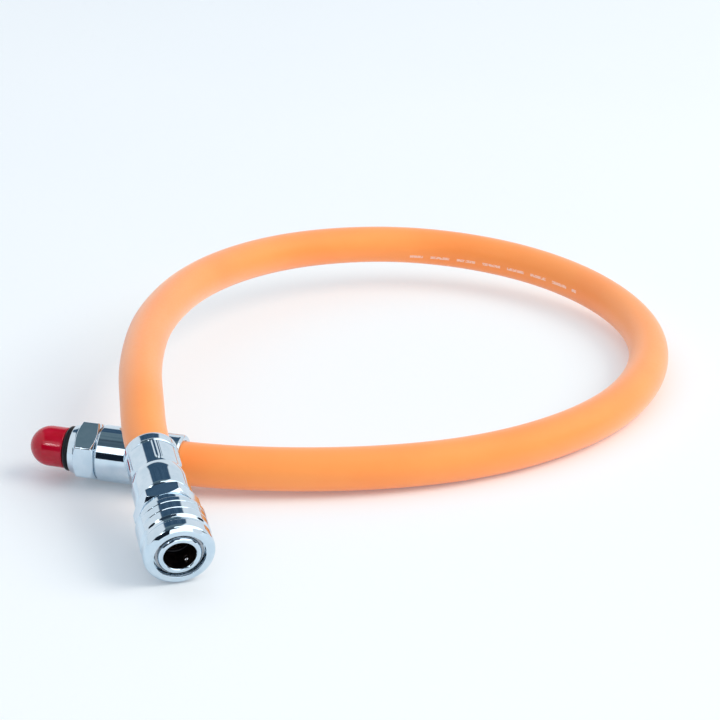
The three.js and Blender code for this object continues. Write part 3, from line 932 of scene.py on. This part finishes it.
def make_lamp(name, azimuth, elevation, distance, size, power, colour, target):
    """A square soft light. Azimuth 0 stands on the camera's side and 90 on its right."""
    data = bpy.data.lights.new(name, "AREA")
    data.shape = "SQUARE"
    data.size = size
    data.energy = power
    data.color = colour
    lamp = bpy.data.objects.new(name, data)
    lamp.visible_glossy = False
    turn, rise = math.radians(azimuth) + VIEW_TURN, math.radians(elevation)
    away = Vector((math.sin(turn) * math.cos(rise), -math.cos(turn) * math.cos(rise),
                   math.sin(rise)))
    lamp.location = Vector(target) + away * distance
    lamp.rotation_euler = away.to_track_quat("Z", "Y").to_euler()
    bpy.context.scene.collection.objects.link(lamp)


def make_world():
    """A pale tent that is turned with the camera: right, ahead and up are its axes, and over is the
    angle from straight ahead, up and back over the camera. A dark ceiling runs overhead from far to
    near. Behind the camera stand a white wall and a dark window; a sill below, a beam overhead and
    a panel beside are white, three panels low down are black, and one small bulb is bright. Camera,
    glossy and transmission rays see the tent, and the rest see a plain soft dome."""
    world = bpy.data.worlds.new("studio")
    world.use_nodes = True
    nodes = Nodes(world.node_tree)
    direction = nodes.add("ShaderNodeTexCoord").outputs["Generated"]
    turned_to_view = nodes.add("ShaderNodeVectorRotate", {
        "Vector": direction, "Angle": -VIEW_TURN}, rotation_type="Z_AXIS").outputs[0]
    split = nodes.add("ShaderNodeSeparateXYZ", {"Vector": turned_to_view})
    right, ahead, up = (split.outputs[k] for k in "XYZ")
    over = nodes.math("ARCTAN2", up, ahead)

    pale, white, bulb_white = (0.93, 0.94, 0.96, 1), (1.9, 1.95, 2.0, 1), (26, 26, 26, 1)
    line, window, black = (0.04, 0.06, 0.08, 1), (0.03, 0.05, 0.075, 1), (0.01, 0.016, 0.026, 1)
    fleck = nodes.ramp(nodes.noise(direction, 34, 4, 0.7), 0.32, 0.72)
    blue = nodes.mix(fleck, (0.035, 0.075, 0.125, 1), (0.085, 0.145, 0.215, 1))
    cloud = nodes.ramp(nodes.noise(direction, 7, 4), 0.3, 0.7)
    slate = nodes.mix(cloud, (0.125, 0.18, 0.21, 1), (0.16, 0.22, 0.25, 1))
    dim = nodes.mix(cloud, (0.075, 0.11, 0.14, 1), (0.10, 0.14, 0.17, 1))

    def above(degrees, soft=2.0):
        return nodes.ramp(over, math.radians(degrees - soft / 2), math.radians(degrees + soft / 2))

    def between(value, low, high, soft=0.04):
        return nodes.math("MULTIPLY", nodes.ramp(value, low - soft / 2, low + soft / 2),
                          nodes.ramp(value, high + soft / 2, high - soft / 2))

    def over_between(low, high, soft):
        return between(over, math.radians(low), math.radians(high), soft)

    ceiling = blue
    for degrees, colour in ((58.5, slate), (92, dim), (97, line), (99, dim)):
        ceiling = nodes.mix(above(degrees), ceiling, colour)
    overhead = nodes.math("MULTIPLY", above(31.5, 3), between(right, -0.52, 0.215, 0.05))
    colour = nodes.mix(overhead, pale, ceiling)

    behind = (above(123.8), nodes.ramp(up, 0.40, 0.43))
    sill = (between(up, -0.1, 0.56, 0.02), nodes.ramp(ahead, -0.4, -0.5))
    beam = (over_between(100, 113, math.radians(1.5)),)
    beside = (nodes.ramp(ahead, 0.34, 0.26), nodes.ramp(up, 0.30, 0.33))
    low_left = (nodes.ramp(ahead, 0.14, 0.08), nodes.ramp(up, 0.43, 0.40))
    low_middle = (between(ahead, -0.45, 0.11), nodes.ramp(up, 0.35, 0.33))
    low_right = (between(ahead, -0.25, 0.11), nodes.ramp(up, 0.30, 0.27))
    bulb = (over_between(140.9, 146.1, 0.01),)
    for masks, left_edge, right_edge, soft, panel in (
            (behind, -0.62, -0.39, 0.04, white),
            (behind, -0.39, 0.33, 0.04, window),
            (sill, 0.0, 0.75, 0.04, white),
            (beam, -0.03, 0.36, 0.04, white),
            (beside, 0.32, 0.93, 0.04, white),
            (low_left, -0.78, 0.0, 0.04, black),
            (low_middle, 0.0, 0.4, 0.04, black),
            (low_right, 0.4, 1.1, 0.04, black),
            (bulb, -0.525, -0.455, 0.01, bulb_white)):
        inside = between(right, left_edge, right_edge, soft)
        for mask in masks:
            inside = nodes.math("MULTIPLY", inside, mask)
        colour = nodes.mix(inside, colour, panel)

    dome = nodes.mix(nodes.ramp(up, 0.0, 0.8), (0.15, 0.19, 0.24, 1), (0.745, 0.825, 0.91, 1))
    colour = nodes.mix(seen_or_mirrored(nodes), dome, colour)
    background = nodes.add("ShaderNodeBackground", {"Color": colour, "Strength": 1.0})
    output = nodes.add("ShaderNodeOutputWorld")
    nodes.feed(output.inputs["Surface"], background.outputs[0])
    bpy.context.scene.world = world


make_floor()
make_lamp("key", azimuth=78, elevation=42, distance=2.4, size=1.5, power=33,
          colour=(1.07, 1.0, 0.89), target=(0.08, 0.06, 0.0))
make_world()

bpy.context.scene.view_settings.view_transform = "Standard"
